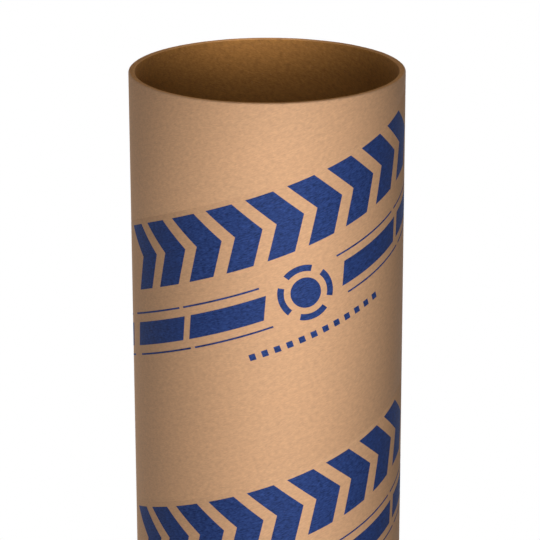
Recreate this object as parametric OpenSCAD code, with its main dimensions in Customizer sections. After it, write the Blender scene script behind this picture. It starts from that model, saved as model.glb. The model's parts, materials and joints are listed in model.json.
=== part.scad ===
// Spiral-wound cardboard tube, used once as the mould of a round concrete column.
// It stands on its lower end: Z is the tube's axis and z = 0 is the lower end.
// The front is towards -Y. Lengths are in millimetres and angles in degrees.

/* [Tube] */
// Inside diameter, which becomes the column's diameter (8 in)
inner_d = 203.2; // [200:0.1:310]
// Thickness of the glued wall
wall = 5; // [3:0.5:8]
// Length of the tube (48 in)
tube_len = 1219.2; // [900:0.1:3660]
// Rounding of the edges of both cut ends
edge_r = 0.6; // [0.2:0.1:1.4]

/* [Winding] */
// Angle at which the paper strip climbs round the tube
wrap_angle = 19.3; // [18:0.1:30]
// Drop from the top end to the outer strip's upper edge, at the front
strip_drop = 64; // [20:1:200]
// Printed repeats in one turn of the strip
repeats_per_turn = 2; // [1:1:2]

/* [Print] */
// Thickness of the ink's solid on the wall
ink_t = 0.3; // [0.25:0.05:1]
// Chevrons in the bold row of one repeat
chevron_count = 9; // [3:1:9]
// Distance from one chevron to the next
chevron_pitch = 33; // [30:1:36]
// Height of a chevron, across the strip
chevron_h = 50; // [30:1:54]
// Width of a chevron's arm, along the strip
chevron_w = 22; // [10:1:25]
// How far a chevron's point runs ahead of its ends
chevron_point = 16; // [6:1:20]
// Long blocks on each side of a round mark
block_count = 2; // [1:1:2]
// Distance from one block to the next
block_pitch = 70; // [60:1:70]
// Gap between two blocks
block_gap = 6; // [3:1:12]
// Height of a block
block_h = 18; // [8:1:20]
// Slant of a block's ends, along the strip
block_slant = 8; // [0:1:12]
// Height of the fine dashes above and below the blocks
dash_h = 1.4; // [0.8:0.1:3]
// Gap between two dashes
dash_gap = 4; // [2:1:10]
// Side of a small square
square_w = 5; // [3:0.5:6]
// Squares in the row below the round mark
square_count = 12; // [2:1:24]
// Radius of the round mark, to the outside of its ring
mark_r = 22; // [20:1:24]
// Width of the mark's ring
mark_w = 5; // [3:1:6]
// Angle that each of the ring's four arcs spans
mark_arc = 64; // [40:1:66]
// Radius of the disc in the middle of the mark
disc_r = 12; // [6:1:13]

/* [Hidden] */
$fn = 256;

// Radii of the wall
inner_r = inner_d / 2;
outer_r = inner_r + wall;

// One turn of the strip: its way round, its climb, its length and the length of a repeat
turn_round = 2 * PI * outer_r;
turn_rise = turn_round * tan(wrap_angle);
turn_len = turn_round / cos(wrap_angle);
repeat_len = turn_len / repeats_per_turn;

// Rows of the print: depth of each row's middle below the strip's upper edge
chevron_row = 29;
mark_row = 88;
square_row = 122;

// Drop from the middle of the blocks to the dashes below them
dash_drop = 16;

// Way along the strip from the middle of the round mark to where the blocks start
mark_room = 30;

// Reach of one repeat above and below its middle, and the repeats that touch the tube
reach_up = repeat_len / 2 * sin(wrap_angle);
reach_down = reach_up + square_row + square_w;
top_z = tube_len - strip_drop;
repeat_rise = turn_rise / repeats_per_turn;
first_repeat = -floor((top_z + reach_up) / repeat_rise);
last_repeat = floor((strip_drop + reach_down) / repeat_rise);

// Azimuth and height of a point u along and v across the strip, in repeat n
function azimuth(n, u, v) =
    -90 + 360 * n / repeats_per_turn
    + (u * cos(wrap_angle) - v * sin(wrap_angle)) / outer_r * 180 / PI;
function height(n, u, v) =
    top_z + repeat_rise * n + u * sin(wrap_angle) + v * cos(wrap_angle);

// Radial section of the wall: a long bar with rounded corners
module wall_section() {
    translate([inner_r, edge_r])
        square([wall, tube_len - 2 * edge_r]);
    translate([inner_r + edge_r, 0])
        square([wall - 2 * edge_r, tube_len]);
    for (x = [inner_r + edge_r, outer_r - edge_r], z = [edge_r, tube_len - edge_r])
        translate([x, z])
            circle(edge_r);
}

// The whole wall is one solid: its paper layers are glued through
module form_tube() {
    color([0.72, 0.56, 0.40])
        rotate_extrude()
            wall_section();
}

// Thin shell that the ink fills, between the two rounded ends
module ink_shell() {
    translate([0, 0, edge_r])
        difference() {
            cylinder(r = outer_r + ink_t, h = tube_len - 2 * edge_r);
            translate([0, 0, -1])
                cylinder(r = outer_r, h = tube_len + 2);
        }
}

// Pushes a flat shape out through the wall, square to it, turned to follow the strip
module stamp(n, u, v) {
    rotate(azimuth(n, u, v))
        translate([outer_r * 0.9, 0, height(n, u, v)])
            rotate([90, 0, 90])
                linear_extrude(outer_r * 0.2)
                    rotate(wrap_angle)
                        children();
}

module chevron() {
    back = -(chevron_w + chevron_point) / 2;
    polygon([
        [back, -chevron_h / 2],
        [back + chevron_w, -chevron_h / 2],
        [back + chevron_w + chevron_point, 0],
        [back + chevron_w, chevron_h / 2],
        [back, chevron_h / 2],
        [back + chevron_point, 0]
    ]);
}

module block() {
    half = (block_pitch - block_gap) / 2;
    lean = block_slant / 2;
    polygon([
        [-half - lean, -block_h / 2],
        [half - lean, -block_h / 2],
        [half + lean, block_h / 2],
        [-half + lean, block_h / 2]
    ]);
}

// A quarter of the ring, to the right of the mark's middle
module mark_arc_shape() {
    far_x = 2 * mark_r * cos(mark_arc / 2);
    far_y = 2 * mark_r * sin(mark_arc / 2);
    intersection() {
        difference() {
            circle(mark_r);
            circle(mark_r - mark_w);
        }
        polygon([[0, 0], [far_x, -far_y], [far_x, far_y]]);
    }
}

// Ring of four arcs round a disc: a form and its column, seen from above
module round_mark() {
    circle(disc_r);
    for (a = [0:90:270])
        rotate(a)
            mark_arc_shape();
}

// Place of item i in a row of count items, counted from the row's middle
function in_row(i, count, pitch) = (i - (count - 1) / 2) * pitch;

// One printed repeat of the strip
module print_repeat(n) {
    for (i = [0:chevron_count - 1])
        stamp(n, in_row(i, chevron_count, chevron_pitch), -chevron_row)
            chevron();
    stamp(n, 0, -mark_row)
        round_mark();
    for (side = [-1, 1], i = [0:block_count - 1]) {
        u = side * (mark_room + (i + 0.5) * block_pitch);
        stamp(n, u, -mark_row)
            block();
        for (v = [-dash_drop, dash_drop])
            stamp(n, u, v - mark_row)
                square([block_pitch - dash_gap, dash_h], center = true);
    }
    for (i = [0:square_count - 1])
        stamp(n, in_row(i, square_count, 2 * square_w), -square_row)
            square(square_w, center = true);
}

// Ink of every repeat, cut off where the tube is cut
module blue_print() {
    color([0.16, 0.24, 0.47])
        intersection() {
            ink_shell();
            for (n = [first_repeat:last_repeat])
                print_repeat(n);
        }
}

form_tube();
blue_print();
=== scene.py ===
"""A spiral-wound cardboard form tube: its wall, the print on its outer strip and a plain studio.

The wall and the print are modelled unrolled, in the plane that touches the tube at its front, where
x runs round the tube, z is the height and -y is the radius. The flat pieces are then rolled up.
"""

import json
import math

import bmesh
import bpy
from bpy.props import (
    FloatProperty,
    FloatVectorProperty,
    IntProperty,
    PointerProperty,
)
from mathutils import Matrix, Quaternion, Vector, noise


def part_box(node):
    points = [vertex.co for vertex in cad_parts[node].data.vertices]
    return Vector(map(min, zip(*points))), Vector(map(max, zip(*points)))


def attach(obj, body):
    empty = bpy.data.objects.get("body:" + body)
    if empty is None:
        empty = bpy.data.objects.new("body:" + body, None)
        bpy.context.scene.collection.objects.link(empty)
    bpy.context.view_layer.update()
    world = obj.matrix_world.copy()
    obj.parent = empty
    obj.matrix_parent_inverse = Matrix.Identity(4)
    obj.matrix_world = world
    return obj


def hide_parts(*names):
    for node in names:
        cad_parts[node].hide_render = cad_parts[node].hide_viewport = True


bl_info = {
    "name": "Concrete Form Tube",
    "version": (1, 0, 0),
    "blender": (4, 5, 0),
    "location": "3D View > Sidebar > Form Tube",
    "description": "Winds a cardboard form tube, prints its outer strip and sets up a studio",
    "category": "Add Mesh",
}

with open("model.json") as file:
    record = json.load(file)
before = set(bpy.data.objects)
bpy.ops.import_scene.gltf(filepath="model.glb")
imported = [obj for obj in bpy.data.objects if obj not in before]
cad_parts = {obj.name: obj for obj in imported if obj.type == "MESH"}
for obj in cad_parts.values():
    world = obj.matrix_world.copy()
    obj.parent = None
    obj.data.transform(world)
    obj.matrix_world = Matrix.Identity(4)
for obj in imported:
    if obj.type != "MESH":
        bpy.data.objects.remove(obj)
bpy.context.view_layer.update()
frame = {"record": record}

WALL_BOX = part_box("form_tube")
MOUNTS = {mount["name"]: mount for mount in frame["record"]["mounts"]}
OUTER_RADIUS = WALL_BOX[1].x
INNER_RADIUS = MOUNTS["bore"]["dims"]["r_mm"] / 1000
TUBE_LENGTH = WALL_BOX[1].z

MM = 0.001

# Distances within which two points are one, and a point lies on a cutting plane
WELD = 1e-6
ON_PLANE = 1e-7

# Angle between two faces past which the edge between them stays sharp
SHARP_ANGLE = math.radians(35)

# Steps that round a cut end's edge, the disc and an arc of the round mark, and the floor's rim
EDGE_STEPS = 3
DISC_STEPS = 48
ARC_STEPS = 14
FLOOR_STEPS = 96

# Half the width of the groove between two plies, as a share of a ply
GROOVE_SHARE = 0.08

# Fraying of the sawn ends: its mean, and the fineness and height of its waves, as shares of the
# whole fray; and how fast the waves change from the inside to the outside
FRAY_MEAN = 0.5
FRAY_WAVES = ((9, 0.35), (60, 0.3))
FRAY_CHANGE = 3

# Rows of the print: depth of each row's middle below the strip's upper edge
CHEVRON_ROW = 29 * MM
MARK_ROW = 88 * MM
SQUARE_ROW = 122 * MM

# Drop from the middle of the blocks to the dashes below them
DASH_DROP = 16 * MM

# Way along the strip from the middle of the round mark to where the blocks start
MARK_ROOM = 30 * MM

# Grain of the paper and the sawn ends: grains per metre, detail, and share of them on each axis
PAPER_GRAIN = {
    "cloud": (30, 3.0, (0.6, 1, 1)),
    "mottle": (330, 3.0, (0.7, 1, 1)),
    "streak": (240, 2.0, (0.03, 1, 1)),
    "fibre": (1100, 3.0, (0.3, 1, 1)),
}
CUT_GRAIN = {"torn": (1500, 3.0, (0.35, 1, 1)), "uneven": (160, 2.0, (1, 3, 1))}

# Flecks in the paper: cells per metre, size in a cell, and strength; and share of the cells that
# lie along the strip
FLECKS = {"dark": (470, 0.11, 0.4), "pale": (430, 0.11, 0.3)}
FLECK_SHARE = 0.3

# How much each pattern lightens and darkens the paper, the ink and the sawn ends
PAPER_SHADES = {"cloud": 0.03, "mottle": 0.15, "streak": 0.03, "fibre": 0.18}
INK_SHADES = {"cloud": 0.06, "mottle": 0.5, "streak": 0.1, "fibre": 0.8}
CUT_SHADES = {"torn": 0.3, "uneven": 0.12}

# Tint of the paper where the clouds in it are densest
CLOUD_TINT = (1.0, 0.985, 0.975)

# How much darker the sawn board is where two plies meet
PLY_SHADE = 0.08

# How deep the inside strip's darker colour, which is painted shade of the bore, reaches into the
# cut end's rounded edge
SKIN_DEPTH = 0.2 * MM

# Share of the paper that a pale fibre lets show in the ink
BARE_SHARE = 0.3

# Surfaces: lowest roughness, what the grain adds to it, strength of the relief and its depth
PAPER_SURFACE = (0.62, 0.1, 0.5, 0.02 * MM)
INK_SURFACE = (0.58, 0.12, 0.4, 0.015 * MM)
PAPER_SPECULAR = 0.13
INK_SPECULAR = 0.06

# The floor: radius, gap below the tube, and where its shadows start to fade and are gone
FLOOR_RADIUS = 40.0
FLOOR_GAP = 0.2 * MM
SHADOW_START = 0.25
SHADOW_END = 0.9

# The softbox straight above the tube: height over the top end, and side
TOP_LAMP_RISE = 1.0
TOP_LAMP_SIDE = 0.5

# Width of the camera's sensor, in millimetres
SENSOR_WIDTH = 36.0


class FORMTUBE_PG_wall(bpy.types.PropertyGroup):
    """Sizes of the glued paper wall."""

    outer_radius: FloatProperty(
        name="Outer radius",
        description="Radius of the tube's outside",
        default=OUTER_RADIUS,
        min=0.05,
        unit="LENGTH",
    )
    inner_radius: FloatProperty(
        name="Inner radius",
        description="Radius of the bore",
        default=INNER_RADIUS,
        min=0.04,
        unit="LENGTH",
    )
    length: FloatProperty(
        name="Length",
        description="Length of the tube between its cut ends",
        default=TUBE_LENGTH,
        min=0.3,
        unit="LENGTH",
    )
    edge_radius: FloatProperty(
        name="Edge radius",
        description="Rounding of the edges of both cut ends",
        default=1.2 * MM,
        min=0.1 * MM,
        unit="LENGTH",
    )
    columns: IntProperty(
        name="Columns",
        description="Flat facets in one turn of the wall; the print's pieces share them",
        default=384,
        min=48,
    )
    plies: IntProperty(
        name="Plies",
        description="Paper layers that show as rings on the cut ends",
        default=8,
        min=2,
    )
    ply_groove: FloatProperty(
        name="Ply groove",
        description="Depth of the fine groove between two plies on the cut ends",
        default=0.12 * MM,
        min=0.0,
        unit="LENGTH",
    )
    fray: FloatProperty(
        name="Fray",
        description="Unevenness of the sawn ends",
        default=0.3 * MM,
        min=0.0,
        unit="LENGTH",
    )
    seam_width: FloatProperty(
        name="Seam width",
        description="Width of the joint between two turns of a strip",
        default=0.5 * MM,
        min=0.1 * MM,
        unit="LENGTH",
    )
    seam_depth: FloatProperty(
        name="Seam depth",
        description="Depth of the joint between two turns of a strip",
        default=0.08 * MM,
        min=0.0,
        unit="LENGTH",
    )
    inner_seam: FloatProperty(
        name="Inner seam",
        description="Place of the inside strip's joint, as a share of the strip's width",
        default=0.42,
        min=0.0,
        max=1.0,
        subtype="FACTOR",
    )


class FORMTUBE_PG_print(bpy.types.PropertyGroup):
    """Sizes of the printed outer strip."""

    wrap_angle: FloatProperty(
        name="Wrap angle",
        description="Angle at which the strip climbs round the tube",
        default=math.radians(19.3),
        subtype="ANGLE",
    )
    strip_drop: FloatProperty(
        name="Strip drop",
        description="Drop from the top end to the strip's upper edge, at the front",
        default=64 * MM,
        unit="LENGTH",
    )
    repeats_per_turn: IntProperty(
        name="Repeats in a turn",
        description="Printed repeats in one turn of the strip",
        default=2,
        min=1,
    )
    ink_height: FloatProperty(
        name="Ink height",
        description="How far the ink's surface stands on the paper",
        default=0.05 * MM,
        min=0.01 * MM,
        unit="LENGTH",
    )
    ink_root: FloatProperty(
        name="Ink root",
        description="How deep the ink reaches into the paper",
        default=0.06 * MM,
        min=0.01 * MM,
        unit="LENGTH",
    )
    chevron_count: IntProperty(
        name="Chevrons", description="Chevrons in the bold row", default=9, min=1
    )
    chevron_pitch: FloatProperty(
        name="Chevron pitch",
        description="Distance from one chevron to the next",
        default=33 * MM,
        unit="LENGTH",
    )
    chevron_height: FloatProperty(
        name="Chevron height",
        description="Height of a chevron, across the strip",
        default=50 * MM,
        unit="LENGTH",
    )
    chevron_arm: FloatProperty(
        name="Chevron arm",
        description="Width of a chevron's arm, along the strip",
        default=22 * MM,
        unit="LENGTH",
    )
    chevron_point: FloatProperty(
        name="Chevron point",
        description="How far a chevron's point runs ahead of its ends",
        default=16 * MM,
        unit="LENGTH",
    )
    block_count: IntProperty(
        name="Blocks", description="Long blocks on each side of a mark", default=2, min=1
    )
    block_pitch: FloatProperty(
        name="Block pitch",
        description="Distance from one block to the next",
        default=70 * MM,
        unit="LENGTH",
    )
    block_gap: FloatProperty(
        name="Block gap",
        description="Gap between two blocks",
        default=6 * MM,
        unit="LENGTH",
    )
    block_height: FloatProperty(
        name="Block height",
        description="Height of a block, across the strip",
        default=18 * MM,
        unit="LENGTH",
    )
    block_slant: FloatProperty(
        name="Block slant",
        description="Slant of a block's ends, along the strip",
        default=8 * MM,
        unit="LENGTH",
    )
    dash_height: FloatProperty(
        name="Dash height",
        description="Height of the fine dashes above and below the blocks",
        default=1.4 * MM,
        unit="LENGTH",
    )
    dash_gap: FloatProperty(
        name="Dash gap",
        description="Gap between two dashes",
        default=4 * MM,
        unit="LENGTH",
    )
    square_side: FloatProperty(
        name="Square side",
        description="Side of a small square",
        default=5 * MM,
        unit="LENGTH",
    )
    square_count: IntProperty(
        name="Squares", description="Squares in the row below the mark", default=12, min=1
    )
    mark_radius: FloatProperty(
        name="Mark radius",
        description="Radius of the round mark, to the outside of its ring",
        default=22 * MM,
        unit="LENGTH",
    )
    mark_ring: FloatProperty(
        name="Mark ring",
        description="Width of the mark's ring",
        default=5 * MM,
        unit="LENGTH",
    )
    mark_arc: FloatProperty(
        name="Mark arc",
        description="Angle that each of the ring's four arcs spans",
        default=math.radians(64),
        subtype="ANGLE",
    )
    mark_disc: FloatProperty(
        name="Mark disc",
        description="Radius of the disc in the middle of the mark",
        default=12 * MM,
        unit="LENGTH",
    )


class FORMTUBE_PG_finish(bpy.types.PropertyGroup):
    """Colours of the paper, the ink and the floor."""

    paper: FloatVectorProperty(
        name="Paper",
        description="Brown of the outer strip",
        default=(0.560, 0.326, 0.181),
        size=3,
        min=0.0,
        max=1.0,
        subtype="COLOR",
    )
    # The inside strip is the same kraft as the outside; its darker, more orange brown is painted
    # shade of the bore and of the light bouncing inside it
    inside: FloatVectorProperty(
        name="Inside",
        description="Brown of the inside strip",
        default=(0.365, 0.163, 0.040),
        size=3,
        min=0.0,
        max=1.0,
        subtype="COLOR",
    )
    cut: FloatVectorProperty(
        name="Cut",
        description="Brown of the sawn ends",
        default=(0.62, 0.31, 0.12),
        size=3,
        min=0.0,
        max=1.0,
        subtype="COLOR",
    )
    fibre: FloatVectorProperty(
        name="Fibre",
        description="Dark brown of the coarse fibres in the paper",
        default=(0.16, 0.075, 0.03),
        size=3,
        min=0.0,
        max=1.0,
        subtype="COLOR",
    )
    pale_fibre: FloatVectorProperty(
        name="Pale fibre",
        description="Light brown of the bleached fibres in the paper",
        default=(0.72, 0.48, 0.30),
        size=3,
        min=0.0,
        max=1.0,
        subtype="COLOR",
    )
    ink: FloatVectorProperty(
        name="Ink",
        description="Blue of the print",
        default=(0.020, 0.042, 0.150),
        size=3,
        min=0.0,
        max=1.0,
        subtype="COLOR",
    )
    floor: FloatVectorProperty(
        name="Floor",
        description="Pale grey of the studio floor",
        default=(0.8, 0.8, 0.8),
        size=3,
        min=0.0,
        max=1.0,
        subtype="COLOR",
    )


class FORMTUBE_PG_studio(bpy.types.PropertyGroup):
    """The camera's place and the lamps' strength."""

    lens: FloatProperty(
        name="Lens",
        description="Focal length, for a sensor 36 mm wide",
        default=177.3,
        min=10.0,
        subtype="DISTANCE_CAMERA",
    )
    distance: FloatProperty(
        name="Distance",
        description="From the camera to the point on the tube's axis that it looks at",
        default=2.0958,
        unit="LENGTH",
    )
    aim_drop: FloatProperty(
        name="Aim drop",
        description="Drop from the top end to the point that the camera looks at",
        default=0.1628,
        unit="LENGTH",
    )
    aim_side: FloatProperty(
        name="Aim side",
        description="How far to the right of the axis the camera looks",
        default=1.9 * MM,
        unit="LENGTH",
    )
    pitch: FloatProperty(
        name="Pitch",
        description="How steeply the camera looks down",
        default=math.radians(18.14),
        subtype="ANGLE",
    )
    roll: FloatProperty(
        name="Roll",
        description="How far the camera leans",
        default=math.radians(-0.137),
        subtype="ANGLE",
    )
    key_power: FloatProperty(
        name="Key power",
        description="Power of the softbox just above the tube's top end",
        default=0.87,
        min=0.0,
        unit="POWER",
    )
    strip_power: FloatProperty(
        name="Strip power",
        description="Power of the narrow softbox close to the tube's front",
        default=1.08,
        min=0.0,
        unit="POWER",
    )
    side_power: FloatProperty(
        name="Side power",
        description="Power of the softbox a little to the left of the front",
        default=0.35,
        min=0.0,
        unit="POWER",
    )
    fill_power: FloatProperty(
        name="Fill power",
        description="Power of the tall softbox on the left",
        default=3.6,
        min=0.0,
        unit="POWER",
    )
    bore_power: FloatProperty(
        name="Bore power",
        description="Power of the small softbox over the bore, which lights its far side",
        default=0.023,
        min=0.0,
        unit="POWER",
    )
    top_power: FloatProperty(
        name="Top power",
        description="Power of the square softbox straight above the tube",
        default=1.7,
        min=0.0,
        unit="POWER",
    )
    back_power: FloatProperty(
        name="Back power",
        description="Power of the tall softbox behind the tube",
        default=12.0,
        min=0.0,
        unit="POWER",
    )
    ambient: FloatProperty(
        name="Ambient",
        description="Strength of the even light from all round",
        default=0.1,
        min=0.0,
    )


def strip_directions(sizes):
    """Unit vectors along and across the wound strip on the unrolled tube."""
    cos, sin = math.cos(sizes.wrap_angle), math.sin(sizes.wrap_angle)
    return Vector((cos, 0, sin)), Vector((-sin, 0, cos))


def strip_width(wall, sizes):
    """Width of the strip whose turns just meet."""
    return math.tau * wall.outer_radius * math.sin(sizes.wrap_angle)


def strip_top(wall, sizes):
    """Place of the strip's upper edge, measured across the strip from the foot of the front."""
    _, across = strip_directions(sizes)
    return (wall.length - sizes.strip_drop) * across.z


def flat_point(arc, radius, height):
    """A point of the unrolled tube: its way round from the front, its radius and its height."""
    return Vector((arc, -radius, height))


def roll_up(bm, wall):
    """Rolls the unrolled geometry into the tube, with the front towards -Y."""
    for vert in bm.verts:
        radius = -vert.co.y
        turn = vert.co.x / wall.outer_radius - math.pi / 2
        vert.co = (radius * math.cos(turn), radius * math.sin(turn), vert.co.z)


def lay_strip_map(bm, wall, sizes):
    """Gives unrolled faces a UV map in metres: along the strip, and across it from its upper edge.

    Each turn of the strip goes on where the last one left off, so the map runs on across the back
    of the tube, where the unrolled sheet meets itself, and jumps only at the strip's own joint.
    """
    along, across = strip_directions(sizes)
    width = strip_width(wall, sizes)
    turn_length = math.tau * wall.outer_radius * math.cos(sizes.wrap_angle)
    upper_edge = strip_top(wall, sizes)
    layer = bm.loops.layers.uv.new("strip")
    for face in bm.faces:
        turn = math.floor((face.calc_center_median().dot(across) - upper_edge) / width)
        for loop in face.loops:
            place = loop.vert.co
            loop[layer].uv = (
                place.dot(along) + turn * turn_length,
                place.dot(across) - upper_edge - turn * width,
            )


def everything(bm):
    """All geometry of a bmesh, in the form that its operators take."""
    return bm.verts[:] + bm.edges[:] + bm.faces[:]


def cut_columns(bm, wall):
    """Cuts flat faces along the upright edges of the wall's facets, so that both bend alike."""
    column = math.tau * wall.outer_radius / wall.columns
    places = [vert.co.x for vert in bm.verts]
    first = math.floor(min(places) / column) + 1
    last = math.ceil(max(places) / column) - 1
    for index in range(first, last + 1):
        bmesh.ops.bisect_plane(
            bm,
            geom=everything(bm),
            dist=ON_PLANE,
            plane_co=(index * column, 0, 0),
            plane_no=(1, 0, 0),
        )


def finish_piece(bm, name, node, material):
    """Turns a closed bmesh in its final place into a piece that stands for a CAD node."""
    loose = sum(1 for edge in bm.edges if len(edge.link_faces) != 2)
    if loose:
        raise RuntimeError(f"{name} isn't closed: {loose} edges don't join two faces")
    bmesh.ops.recalc_face_normals(bm, faces=bm.faces[:])
    for face in bm.faces:
        face.smooth = True
    mesh = bpy.data.meshes.new(name)
    bm.to_mesh(mesh)
    bm.free()
    mesh.set_sharp_from_angle(angle=SHARP_ANGLE)
    mesh.materials.append(material)
    piece = bpy.data.objects.new(name, mesh)
    bpy.context.scene.collection.objects.link(piece)
    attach(piece, "root")
    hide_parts(node)


def add_node(tree, kind, inputs=None, **settings):
    """Adds a shader node, sets its options and fills its inputs with values or links."""
    made = tree.nodes.new(kind)
    for name, value in settings.items():
        setattr(made, name, value)
    for name, value in (inputs or {}).items():
        if isinstance(value, bpy.types.NodeSocket):
            tree.links.new(value, made.inputs[name])
        else:
            made.inputs[name].default_value = value
    return made


def add_math(tree, operation, *values):
    """Adds a Math node and returns its output."""
    inputs = dict(enumerate(values))
    return add_node(tree, "ShaderNodeMath", inputs, operation=operation).outputs[0]


def add_noise(tree, place, count, detail, shares):
    """Adds a noise pattern of so many grains per metre, spread between 0 and 1."""
    mapped = add_node(
        tree, "ShaderNodeMapping", {"Vector": place, "Scale": [count * part for part in shares]}
    )
    grain = add_node(
        tree,
        "ShaderNodeTexNoise",
        {"Vector": mapped.outputs["Vector"], "Scale": 1.0, "Detail": detail, "Roughness": 0.55},
    )
    spread = add_node(
        tree,
        "ShaderNodeMapRange",
        {"Value": grain.outputs["Fac"], "From Min": 0.3, "From Max": 0.7},
    )
    return spread.outputs["Result"]


def add_grain(tree, place, kinds):
    """Adds a noise pattern for each kind of grain."""
    return {
        name: add_noise(tree, place, count, detail, shares)
        for name, (count, detail, shares) in kinds.items()
    }


def add_mix(tree, share, first, second, blend="MIX"):
    """Adds a colour mix and returns its output."""
    made = add_node(
        tree, "ShaderNodeMix", {"Factor": share}, data_type="RGBA", blend_type=blend
    )
    # The node has these sockets once more for numbers and for vectors, under the same names
    colour_inputs, colour_output = (made.inputs[6], made.inputs[7]), made.outputs[2]
    for socket, value in zip(colour_inputs, (first, second)):
        if isinstance(value, bpy.types.NodeSocket):
            tree.links.new(value, socket)
        else:
            socket.default_value = (*value, 1.0)
    return colour_output


def new_material(name):
    """An empty node material with its Principled shader."""
    material = bpy.data.materials.new(name)
    material.use_nodes = True
    return material, material.node_tree, material.node_tree.nodes["Principled BSDF"]


def add_flecks(tree, place, cells, size, strength):
    """Adds thin scattered flecks: slices of the balls in a pattern of so many cells per metre."""
    scale = (FLECK_SHARE * cells, cells, cells)
    mapped = add_node(
        tree, "ShaderNodeMapping", {"Vector": place, "Location": (0, 0, cells), "Scale": scale}
    )
    cell = add_node(
        tree, "ShaderNodeTexVoronoi", {"Vector": mapped.outputs["Vector"], "Scale": 1.0}
    )
    near = add_node(
        tree,
        "ShaderNodeMapRange",
        {"Value": cell.outputs["Distance"], "From Min": size, "From Max": 0.0, "To Max": strength},
    )
    return near.outputs["Result"]


def paper_grain(tree):
    """Patterns of kraft paper, with the fibres lying along the strip."""
    place = add_node(tree, "ShaderNodeUVMap", uv_map="strip").outputs["UV"]
    grain = add_grain(tree, place, PAPER_GRAIN)
    for name, (cells, size, strength) in FLECKS.items():
        grain[name] = add_flecks(tree, place, cells, size, strength)
    return grain


def grain_shade(tree, grain, amounts):
    """Adds up the patterns to one factor round 1, each with its own share."""
    total = 1.0
    for name, amount in amounts.items():
        centred = add_math(tree, "MULTIPLY_ADD", grain[name], amount, -amount / 2)
        total = add_math(tree, "ADD", centred, total)
    return total


def roughen(tree, shader, grain, lowest, spread, strength, depth):
    """Raises the grain as a fine relief, and returns a roughness that varies with it."""
    rough = add_math(tree, "MULTIPLY_ADD", grain["mottle"], spread, lowest)
    height = add_math(tree, "MULTIPLY_ADD", grain["mottle"], 0.5, grain["fibre"])
    bump = add_node(
        tree, "ShaderNodeBump", {"Strength": strength, "Distance": depth, "Height": height}
    )
    tree.links.new(bump.outputs["Normal"], shader.inputs["Normal"])
    return rough


def round_place(tree, wall):
    """A point's place as its way round the tube, its radius and its height, all in metres."""
    place = add_node(tree, "ShaderNodeTexCoord").outputs["Object"]
    x, y, z = add_node(tree, "ShaderNodeSeparateXYZ", {0: place}).outputs
    across = add_node(tree, "ShaderNodeCombineXYZ", {0: x, 1: y})
    radius = add_node(
        tree, "ShaderNodeVectorMath", {0: across.outputs[0]}, operation="LENGTH"
    ).outputs["Value"]
    turn = add_math(tree, "ARCTAN2", x, add_math(tree, "MULTIPLY", y, -1.0))
    arc = add_math(tree, "MULTIPLY", turn, wall.outer_radius)
    return add_node(tree, "ShaderNodeCombineXYZ", {0: arc, 1: radius, 2: z}).outputs[0], radius


def cut_colour(tree, finish, wall, place, radius):
    """Sawn board: plies seen edge-on, a little darker where one meets the next, and torn fibres."""
    turns_per_metre = math.tau * wall.plies / (wall.outer_radius - wall.inner_radius)
    start = -turns_per_metre * wall.inner_radius
    ring = add_math(tree, "COSINE", add_math(tree, "MULTIPLY_ADD", radius, turns_per_metre, start))
    plies = add_math(tree, "MULTIPLY_ADD", ring, -PLY_SHADE, 1 - PLY_SHADE / 2)
    shade = grain_shade(tree, add_grain(tree, place, CUT_GRAIN), CUT_SHADES)
    shade = add_math(tree, "MULTIPLY", shade, plies)
    return add_mix(tree, 1.0, finish.cut, shade, "MULTIPLY")


def kraft_material(finish, wall):
    """Kraft board: mottled paper outside and inside, the inside in a darker brown that is painted
    shade of the bore, and plies edge-on at the sawn ends.
    """
    material, tree, shader = new_material("kraft_paper")
    grain = paper_grain(tree)
    place, radius = round_place(tree, wall)
    on_outside = add_math(tree, "GREATER_THAN", radius, wall.outer_radius - wall.edge_radius)
    on_inside = add_math(tree, "LESS_THAN", radius, wall.inner_radius + SKIN_DEPTH)

    tinted = [part * share for part, share in zip(finish.paper, CLOUD_TINT)]
    paper = add_mix(tree, grain["cloud"], finish.paper, tinted)
    # The inside strip's darker, more orange brown paints the bore's shade into its colour
    skin = add_mix(tree, on_inside, paper, finish.inside)
    shade = grain_shade(tree, grain, PAPER_SHADES)
    twice_inside = add_math(tree, "ADD", on_inside, 1.0)
    contrast = add_math(tree, "SUBTRACT", shade, 1.0)
    shade = add_math(tree, "MULTIPLY_ADD", contrast, twice_inside, 1.0)
    skin = add_mix(tree, 1.0, skin, shade, "MULTIPLY")
    skin = add_mix(tree, grain["dark"], skin, finish.fibre)
    skin = add_mix(tree, grain["pale"], skin, finish.pale_fibre)
    on_skin = add_math(tree, "ADD", on_outside, on_inside)
    base = add_mix(tree, on_skin, cut_colour(tree, finish, wall, place, radius), skin)
    tree.links.new(base, shader.inputs["Base Color"])

    rough = roughen(tree, shader, grain, *PAPER_SURFACE)
    rough = add_node(
        tree, "ShaderNodeMix", {"Factor": on_skin, "A": 1.0, "B": rough}, data_type="FLOAT"
    ).outputs["Result"]
    tree.links.new(rough, shader.inputs["Roughness"])
    shader.inputs["Specular IOR Level"].default_value = PAPER_SPECULAR
    return material


def ink_material(finish):
    """Flat blue ink that lets the paper's grain and a few bare fibres show."""
    material, tree, shader = new_material("printing_ink")
    grain = paper_grain(tree)
    shade = grain_shade(tree, grain, INK_SHADES)
    base = add_mix(tree, 1.0, finish.ink, shade, "MULTIPLY")
    bare = add_math(tree, "MULTIPLY", grain["pale"], BARE_SHARE)
    base = add_mix(tree, bare, base, finish.paper)
    tree.links.new(base, shader.inputs["Base Color"])
    rough = roughen(tree, shader, grain, *INK_SURFACE)
    tree.links.new(rough, shader.inputs["Roughness"])
    shader.inputs["Specular IOR Level"].default_value = INK_SPECULAR
    return material


def shared_material(name, make, *settings):
    """The material of that name, made the first time that a piece needs it."""
    return bpy.data.materials.get(name) or make(*settings)


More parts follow.
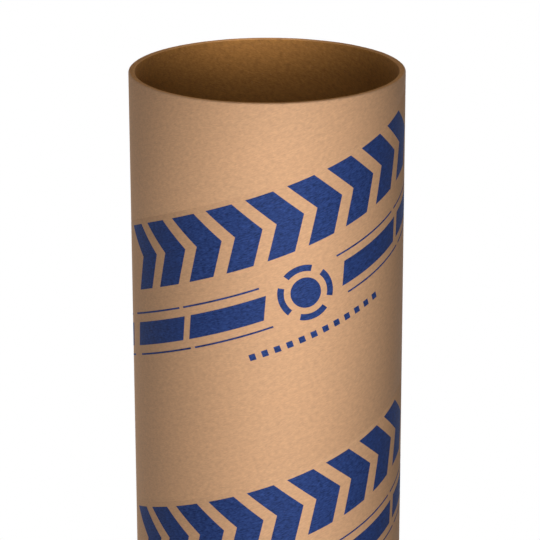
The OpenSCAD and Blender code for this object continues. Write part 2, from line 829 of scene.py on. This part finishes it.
class FORMTUBE_OT_wind_wall(bpy.types.Operator):
    """Wind the glued paper wall, with its plies on the cut ends and the strips' joints"""

    bl_idname = "form_tube.wind_wall"
    bl_label = "Wind Wall"

    def execute(self, context):
        wall = context.scene.form_tube_wall
        sizes = context.scene.form_tube_print
        bm = self.slit_wall(wall)
        self.press_joints(bm, wall, sizes)
        lay_strip_map(bm, wall, sizes)
        self.fray_ends(bm, wall)
        roll_up(bm, wall)
        bmesh.ops.remove_doubles(bm, verts=bm.verts[:], dist=WELD)
        material = shared_material(
            "kraft_paper", kraft_material, context.scene.form_tube_finish, wall
        )
        finish_piece(bm, "tube_wall", "form_tube", material)
        return {"FINISHED"}

    def slit_wall(self, wall):
        """The wall slit along its back and laid flat: its section drawn out into one turn."""
        bm = bmesh.new()
        back = -math.pi * wall.outer_radius
        corners = [
            bm.verts.new(flat_point(back, radius, height))
            for radius, height in (
                (wall.inner_radius, 0),
                (wall.outer_radius, 0),
                (wall.outer_radius, wall.length),
                (wall.inner_radius, wall.length),
            )
        ]
        bm.faces.new(corners)
        bmesh.ops.bevel(
            bm,
            geom=corners,
            offset=wall.edge_radius,
            segments=EDGE_STEPS,
            profile=0.5,
            affect="VERTICES",
            material=-1,
        )
        self.score_plies(bm, wall)
        section = bm.faces[:]
        drawn = bmesh.ops.extrude_face_region(bm, geom=section)["geom"]
        far_verts = [item for item in drawn if isinstance(item, bmesh.types.BMVert)]
        far_faces = [item for item in drawn if isinstance(item, bmesh.types.BMFace)]
        bmesh.ops.translate(bm, verts=far_verts, vec=(-2 * back, 0, 0))
        near_faces = [face for face in section if face.is_valid]
        bmesh.ops.delete(bm, geom=near_faces + far_faces, context="FACES_KEEP_BOUNDARY")
        inner_edges = [edge for edge in bm.edges if not edge.link_faces]
        bmesh.ops.delete(bm, geom=inner_edges, context="EDGES")
        around = [edge for edge in bm.edges if abs(edge.verts[0].co.x - edge.verts[1].co.x) > WELD]
        bmesh.ops.subdivide_edges(bm, edges=around, cuts=wall.columns - 1, use_grid_fill=True)
        return bm

    def score_plies(self, bm, wall):
        """Cuts a fine groove into the section's ends between each two plies."""
        ply = (wall.outer_radius - wall.inner_radius) / wall.plies
        half = GROOVE_SHARE * ply
        for index in range(1, wall.plies):
            middle = wall.inner_radius + index * ply
            for radius in (middle - half, middle, middle + half):
                bmesh.ops.bisect_plane(
                    bm,
                    geom=everything(bm),
                    dist=ON_PLANE,
                    plane_co=(0, -radius, 0),
                    plane_no=(0, 1, 0),
                )
            for vert in bm.verts:
                if abs(-vert.co.y - middle) < WELD:
                    vert.co.z += wall.ply_groove * (1 if vert.co.z < wall.length / 2 else -1)

    def press_joints(self, bm, wall, sizes):
        """Presses the joint between a strip's turns into the outside and the inside."""
        _, across = strip_directions(sizes)
        width = strip_width(wall, sizes)
        upper_edge = strip_top(wall, sizes)
        reach = math.ceil(wall.length / width) + 2
        for radius, share, inward in (
            (wall.outer_radius, 0.0, 1),
            (wall.inner_radius, wall.inner_seam, -1),
        ):
            for turn in range(-reach, reach):
                middle = upper_edge + (turn + share) * width
                for offset in (-wall.seam_width / 2, 0, wall.seam_width / 2):
                    skin = [
                        face for face in bm.faces
                        if all(abs(-vert.co.y - radius) < WELD for vert in face.verts)
                    ]
                    edges = {edge for face in skin for edge in face.edges}
                    verts = {vert for face in skin for vert in face.verts}
                    bmesh.ops.bisect_plane(
                        bm,
                        geom=[*verts, *edges, *skin],
                        dist=ON_PLANE,
                        plane_co=across * (middle + offset),
                        plane_no=across,
                    )
                for vert in bm.verts:
                    on_skin = abs(-vert.co.y - radius) < WELD
                    if on_skin and abs(vert.co.dot(across) - middle) < WELD:
                        vert.co.y += inward * wall.seam_depth

    def fray_ends(self, bm, wall):
        """Makes the sawn ends slightly uneven, which fades out just below their rounded edges."""
        band = 2 * wall.edge_radius
        for vert in bm.verts:
            turn = vert.co.x / wall.outer_radius
            for end, inward in ((0, 1), (wall.length, -1)):
                near = 1 - abs(vert.co.z - end) / band
                if near > 0:
                    place = Vector((math.cos(turn), math.sin(turn), vert.co.y * FRAY_CHANGE))
                    lift = FRAY_MEAN
                    for count, height in FRAY_WAVES:
                        lift += height * noise.noise(place * count + Vector((0, 0, end)))
                    vert.co.z += inward * wall.fray * near * max(lift, 0)


def repeat_matrix(wall, sizes, place, row):
    """Where a flat shape lies on the unrolled tube: along the strip and below its upper edge."""
    along, across = strip_directions(sizes)
    outward = along.cross(across)
    turned = Matrix((along, across, outward)).transposed().to_4x4()
    front = flat_point(0, wall.outer_radius - sizes.ink_root, wall.length - sizes.strip_drop)
    return Matrix.Translation(front + along * place - across * row) @ turned


def in_row(index, count, pitch):
    """Place of one item of a row, counted from the row's middle."""
    return (index - (count - 1) / 2) * pitch


def block_places(sizes):
    """Places of the long blocks, which leave room for the round mark between them."""
    steps = [MARK_ROOM + (index + 0.5) * sizes.block_pitch for index in range(sizes.block_count)]
    return [-step for step in reversed(steps)] + steps


def add_outline(bm, points, matrix):
    """Adds a flat face from its few corners, which are given along and across the strip."""
    corners = [bm.verts.new(matrix @ Vector((x, y, 0))) for x, y in points]
    bm.faces.new(corners)


def take_over(bm, shape):
    """Adds a finished flat shape to the sheet."""
    mesh = bpy.data.meshes.new("shape")
    shape.to_mesh(mesh)
    shape.free()
    bm.from_mesh(mesh)
    bpy.data.meshes.remove(mesh)


def print_piece(context, name, draw_repeat):
    """Prints every repeat of some shapes round the tube, as thin plates of ink."""
    wall = context.scene.form_tube_wall
    sizes = context.scene.form_tube_print
    bm = bmesh.new()
    draw_repeat(bm, wall, sizes)
    cut_columns(bm, wall)
    repeat_round = math.tau * wall.outer_radius / sizes.repeats_per_turn
    repeat_rise = repeat_round * math.tan(sizes.wrap_angle)
    heights = [vert.co.z for vert in bm.verts]
    lowest = wall.edge_radius
    highest = wall.length - wall.edge_radius
    first = math.ceil((lowest - max(heights)) / repeat_rise)
    last = math.floor((highest - min(heights)) / repeat_rise)
    pattern = everything(bm)
    for index in range(first, last + 1):
        if index:
            copied = bmesh.ops.duplicate(bm, geom=pattern)["geom"]
            verts = [item for item in copied if isinstance(item, bmesh.types.BMVert)]
            shift = (index * repeat_round, 0, index * repeat_rise)
            bmesh.ops.translate(bm, verts=verts, vec=shift)
    for height, side in ((lowest, -1), (highest, 1)):
        bmesh.ops.bisect_plane(
            bm,
            geom=everything(bm),
            dist=ON_PLANE,
            plane_co=(0, 0, height),
            plane_no=(0, 0, side),
            clear_outer=True,
        )
    lay_strip_map(bm, wall, sizes)
    drawn = bmesh.ops.extrude_face_region(bm, geom=bm.faces[:])["geom"]
    verts = [item for item in drawn if isinstance(item, bmesh.types.BMVert)]
    bmesh.ops.translate(bm, verts=verts, vec=(0, -(sizes.ink_root + sizes.ink_height), 0))
    roll_up(bm, wall)
    material = shared_material("printing_ink", ink_material, context.scene.form_tube_finish)
    finish_piece(bm, name, "blue_print", material)


class FORMTUBE_OT_print_chevrons(bpy.types.Operator):
    """Print the bold row of chevrons along the strip"""

    bl_idname = "form_tube.print_chevrons"
    bl_label = "Print Chevrons"

    def execute(self, context):
        print_piece(context, "bold_chevrons", self.draw_chevrons)
        return {"FINISHED"}

    @staticmethod
    def draw_chevrons(bm, wall, sizes):
        """Draws the row of one repeat, each chevron from its upper and its lower half."""
        arm, point, half = sizes.chevron_arm, sizes.chevron_point, sizes.chevron_height / 2
        back = -(arm + point) / 2
        upper = [(back, half), (back + point, 0), (back + arm + point, 0), (back + arm, half)]
        lower = [(x, -y) for x, y in reversed(upper)]
        for index in range(sizes.chevron_count):
            place = in_row(index, sizes.chevron_count, sizes.chevron_pitch)
            matrix = repeat_matrix(wall, sizes, place, CHEVRON_ROW)
            shape = bmesh.new()
            add_outline(shape, upper, matrix)
            add_outline(shape, lower, matrix)
            bmesh.ops.remove_doubles(shape, verts=shape.verts[:], dist=WELD)
            take_over(bm, shape)


class FORMTUBE_OT_print_bars(bpy.types.Operator):
    """Print the long blocks beside the round marks, between fine dashes"""

    bl_idname = "form_tube.print_bars"
    bl_label = "Print Bars"

    def execute(self, context):
        print_piece(context, "long_blocks", self.draw_blocks)
        print_piece(context, "fine_dashes", self.draw_dashes)
        return {"FINISHED"}

    @staticmethod
    def draw_blocks(bm, wall, sizes):
        """Draws the slanted blocks of one repeat, in line with the round mark."""
        half = (sizes.block_pitch - sizes.block_gap) / 2
        lean, rise = sizes.block_slant / 2, sizes.block_height / 2
        lower = [(-half - lean, -rise), (half - lean, -rise)]
        corners = lower + [(-x, -y) for x, y in lower]
        for place in block_places(sizes):
            add_outline(bm, corners, repeat_matrix(wall, sizes, place, MARK_ROW))

    @staticmethod
    def draw_dashes(bm, wall, sizes):
        """Draws a dash above and a dash below each block of one repeat."""
        half = (sizes.block_pitch - sizes.dash_gap) / 2
        rise = sizes.dash_height / 2
        corners = [(-half, -rise), (half, -rise), (half, rise), (-half, rise)]
        for row in (MARK_ROW - DASH_DROP, MARK_ROW + DASH_DROP):
            for place in block_places(sizes):
                add_outline(bm, corners, repeat_matrix(wall, sizes, place, row))


class FORMTUBE_OT_print_squares(bpy.types.Operator):
    """Print the row of small squares below the round marks"""

    bl_idname = "form_tube.print_squares"
    bl_label = "Print Squares"

    def execute(self, context):
        print_piece(context, "small_squares", self.draw_squares)
        return {"FINISHED"}

    @staticmethod
    def draw_squares(bm, wall, sizes):
        """Draws the row of one repeat, with gaps as wide as the squares."""
        for index in range(sizes.square_count):
            place = in_row(index, sizes.square_count, 2 * sizes.square_side)
            matrix = repeat_matrix(wall, sizes, place, SQUARE_ROW)
            bmesh.ops.create_grid(
                bm, x_segments=1, y_segments=1, size=sizes.square_side / 2, matrix=matrix
            )


class FORMTUBE_OT_print_marks(bpy.types.Operator):
    """Print the round marks: a disc inside a ring of four arcs"""

    bl_idname = "form_tube.print_marks"
    bl_label = "Print Marks"

    def execute(self, context):
        print_piece(context, "round_marks", self.draw_marks)
        return {"FINISHED"}

    @staticmethod
    def draw_marks(bm, wall, sizes):
        """Draws the mark of one repeat, with an arc to each side, above and below."""
        matrix = repeat_matrix(wall, sizes, 0, MARK_ROW)
        bmesh.ops.create_circle(
            bm, cap_ends=True, segments=DISC_STEPS, radius=sizes.mark_disc, matrix=matrix
        )
        middle = matrix.translation
        outward = matrix.col[2].xyz
        for quarter in range(4):
            start = quarter * math.pi / 2 - sizes.mark_arc / 2
            ray = Vector((math.cos(start), math.sin(start), 0))
            ends = [
                bm.verts.new(matrix @ (ray * length))
                for length in (sizes.mark_radius - sizes.mark_ring, sizes.mark_radius)
            ]
            edge = bm.edges.new(ends)
            bmesh.ops.spin(
                bm,
                geom=[*ends, edge],
                cent=middle,
                axis=outward,
                angle=sizes.mark_arc,
                steps=ARC_STEPS,
                use_duplicate=False,
            )


def seen_directly(tree):
    """1 for the camera's own rays and for those that a mirror or a clear piece passes on."""
    ray = add_node(tree, "ShaderNodeLightPath")
    seen = add_math(tree, "MAXIMUM", ray.outputs["Is Camera Ray"], ray.outputs["Is Glossy Ray"])
    return add_math(tree, "MAXIMUM", seen, ray.outputs["Is Transmission Ray"])


def floor_material(finish):
    """Pale floor that keeps the tube's shadow near it and is white to the camera further off."""
    material, tree, shader = new_material("studio_floor")
    shader.inputs["Base Color"].default_value = (*finish.floor, 1.0)
    shader.inputs["Roughness"].default_value = 0.9
    shader.inputs["Specular IOR Level"].default_value = 0.1
    place = add_node(tree, "ShaderNodeTexCoord").outputs["Object"]
    reach = add_node(tree, "ShaderNodeVectorMath", {0: place}, operation="LENGTH").outputs["Value"]
    far = add_node(
        tree,
        "ShaderNodeMapRange",
        {"Value": reach, "From Min": SHADOW_START, "From Max": SHADOW_END},
        interpolation_type="SMOOTHSTEP",
    ).outputs["Result"]
    whitened = add_math(tree, "MULTIPLY", far, seen_directly(tree))
    white = add_node(tree, "ShaderNodeEmission", {"Strength": 1.0})
    top = add_node(
        tree, "ShaderNodeMixShader", {0: whitened, 1: shader.outputs[0], 2: white.outputs[0]}
    )
    side = add_node(tree, "ShaderNodeNewGeometry").outputs["Backfacing"]
    clear = add_node(tree, "ShaderNodeBsdfTransparent")
    both = add_node(
        tree, "ShaderNodeMixShader", {0: side, 1: top.outputs[0], 2: clear.outputs[0]}
    )
    tree.links.new(both.outputs[0], tree.nodes["Material Output"].inputs["Surface"])
    return material


class FORMTUBE_OT_set_stage(bpy.types.Operator):
    """Set up the studio: pale floor, white surroundings, softboxes and the camera"""

    bl_idname = "form_tube.set_stage"
    bl_label = "Set Stage"

    def execute(self, context):
        scene = context.scene
        studio = scene.form_tube_studio
        self.lay_floor(scene)
        self.light_world(scene, studio.ambient)
        top = scene.form_tube_wall.length
        # Each stands upright, so many degrees from the front, and lights the side it stands on; the
        # one over the bore hangs just past the axis, and lights the bore's far side
        for name, azimuth, far, low, high, wide, power in (
            ("key_softbox", 8, 0.6, top - 0.02, top + 0.08, 0.2, studio.key_power),
            ("strip_softbox", 10, 0.28, 0.15, top + 0.08, 0.1, studio.strip_power),
            ("side_softbox", -12, 0.6, top - 0.32, top + 0.08, 0.2, studio.side_power),
            ("fill_softbox", -100, 1.3, 0.0, top, 0.6, studio.fill_power),
            ("bore_softbox", 6, -0.05, top + 0.012, top + 0.04, 0.03, studio.bore_power),
            ("back_softbox", 178, 1.2, 0.1, top, 0.4, studio.back_power),
        ):
            turn = math.radians(azimuth)
            place = (far * math.sin(turn), -far * math.cos(turn), (low + high) / 2)
            turns, size = (math.pi / 2, 0, turn), (wide, high - low)
            self.hang_softbox(scene, name, place, turns, size, power)
        above, square = (0, 0, top + TOP_LAMP_RISE), (TOP_LAMP_SIDE, TOP_LAMP_SIDE)
        self.hang_softbox(scene, "top_softbox", above, (0, 0, 0), square, studio.top_power)
        self.place_camera(scene, studio)
        scene.view_settings.view_transform = "Standard"
        return {"FINISHED"}

    def lay_floor(self, scene):
        """Lays the round floor just below the tube."""
        bm = bmesh.new()
        below = Matrix.Translation((0, 0, -FLOOR_GAP))
        bmesh.ops.create_circle(
            bm, cap_ends=True, segments=FLOOR_STEPS, radius=FLOOR_RADIUS, matrix=below
        )
        mesh = bpy.data.meshes.new("studio_floor")
        bm.to_mesh(mesh)
        bm.free()
        mesh.materials.append(floor_material(scene.form_tube_finish))
        floor = bpy.data.objects.new("studio_floor", mesh)
        scene.collection.objects.link(floor)

    def light_world(self, scene, ambient):
        """Surrounds the tube with even light, which the camera sees as white."""
        world = bpy.data.worlds.new("studio")
        world.use_nodes = True
        tree = world.node_tree
        even = tree.nodes["Background"]
        even.inputs["Color"].default_value = (1.0, 1.0, 1.0, 1.0)
        even.inputs["Strength"].default_value = ambient
        white = add_node(tree, "ShaderNodeBackground", {"Color": (1, 1, 1, 1), "Strength": 1.0})
        seen = seen_directly(tree)
        mix = add_node(
            tree, "ShaderNodeMixShader", {0: seen, 1: even.outputs[0], 2: white.outputs[0]}
        )
        tree.links.new(mix.outputs[0], tree.nodes["World Output"].inputs["Surface"])
        scene.world = world

    def hang_softbox(self, scene, name, place, turns, size, power):
        """Hangs a softbox, which lights the way that its turned underside faces."""
        lamp = bpy.data.lights.new(name, "AREA")
        lamp.shape = "RECTANGLE"
        lamp.size, lamp.size_y = size
        lamp.energy = power
        box = bpy.data.objects.new(name, lamp)
        box.location = place
        box.rotation_euler = turns
        box.visible_camera = False
        scene.collection.objects.link(box)

    def place_camera(self, scene, studio):
        """Stands the camera in front of the tube, looking down at its upper part."""
        lens = bpy.data.cameras.new("studio_camera")
        lens.sensor_width = SENSOR_WIDTH
        lens.lens = studio.lens
        camera = bpy.data.objects.new("studio_camera", lens)
        scene.collection.objects.link(camera)
        aim_height = scene.form_tube_wall.length - studio.aim_drop
        back = studio.distance * math.cos(studio.pitch)
        rise = studio.distance * math.sin(studio.pitch)
        camera.location = (0, -back, aim_height + rise)
        look = Vector((studio.aim_side, 0, aim_height)) - camera.location
        lean = Quaternion((0, 0, 1), studio.roll)
        camera.rotation_euler = (look.to_track_quat("-Z", "Y") @ lean).to_euler()
        scene.camera = camera


class FORMTUBE_PT_panel(bpy.types.Panel):
    """Form tube tools"""

    bl_idname = "FORMTUBE_PT_panel"
    bl_label = "Form Tube"
    bl_space_type = "VIEW_3D"
    bl_region_type = "UI"
    bl_category = "Form Tube"

    def draw(self, context):
        layout = self.layout
        for operator in OPERATORS:
            layout.operator(operator.bl_idname)
        for group in SETTINGS:
            box = layout.box()
            box.label(text=group.title())
            settings = getattr(context.scene, f"form_tube_{group}")
            for name in settings.bl_rna.properties.keys():
                if name not in ("rna_type", "name"):
                    box.prop(settings, name)


OPERATORS = (
    FORMTUBE_OT_wind_wall,
    FORMTUBE_OT_print_chevrons,
    FORMTUBE_OT_print_bars,
    FORMTUBE_OT_print_squares,
    FORMTUBE_OT_print_marks,
    FORMTUBE_OT_set_stage,
)
SETTINGS = {
    "wall": FORMTUBE_PG_wall,
    "print": FORMTUBE_PG_print,
    "finish": FORMTUBE_PG_finish,
    "studio": FORMTUBE_PG_studio,
}


def register():
    for name, group in SETTINGS.items():
        bpy.utils.register_class(group)
        setattr(bpy.types.Scene, f"form_tube_{name}", PointerProperty(type=group))
    for operator in OPERATORS:
        bpy.utils.register_class(operator)
    bpy.utils.register_class(FORMTUBE_PT_panel)


def unregister():
    bpy.utils.unregister_class(FORMTUBE_PT_panel)
    for operator in reversed(OPERATORS):
        bpy.utils.unregister_class(operator)
    for name, group in reversed(SETTINGS.items()):
        delattr(bpy.types.Scene, f"form_tube_{name}")
        bpy.utils.unregister_class(group)


def main():
    register()
    bpy.ops.form_tube.wind_wall()
    bpy.ops.form_tube.print_chevrons()
    bpy.ops.form_tube.print_bars()
    bpy.ops.form_tube.print_squares()
    bpy.ops.form_tube.print_marks()
    bpy.ops.form_tube.set_stage()


if __name__ == "__main__":
    main()
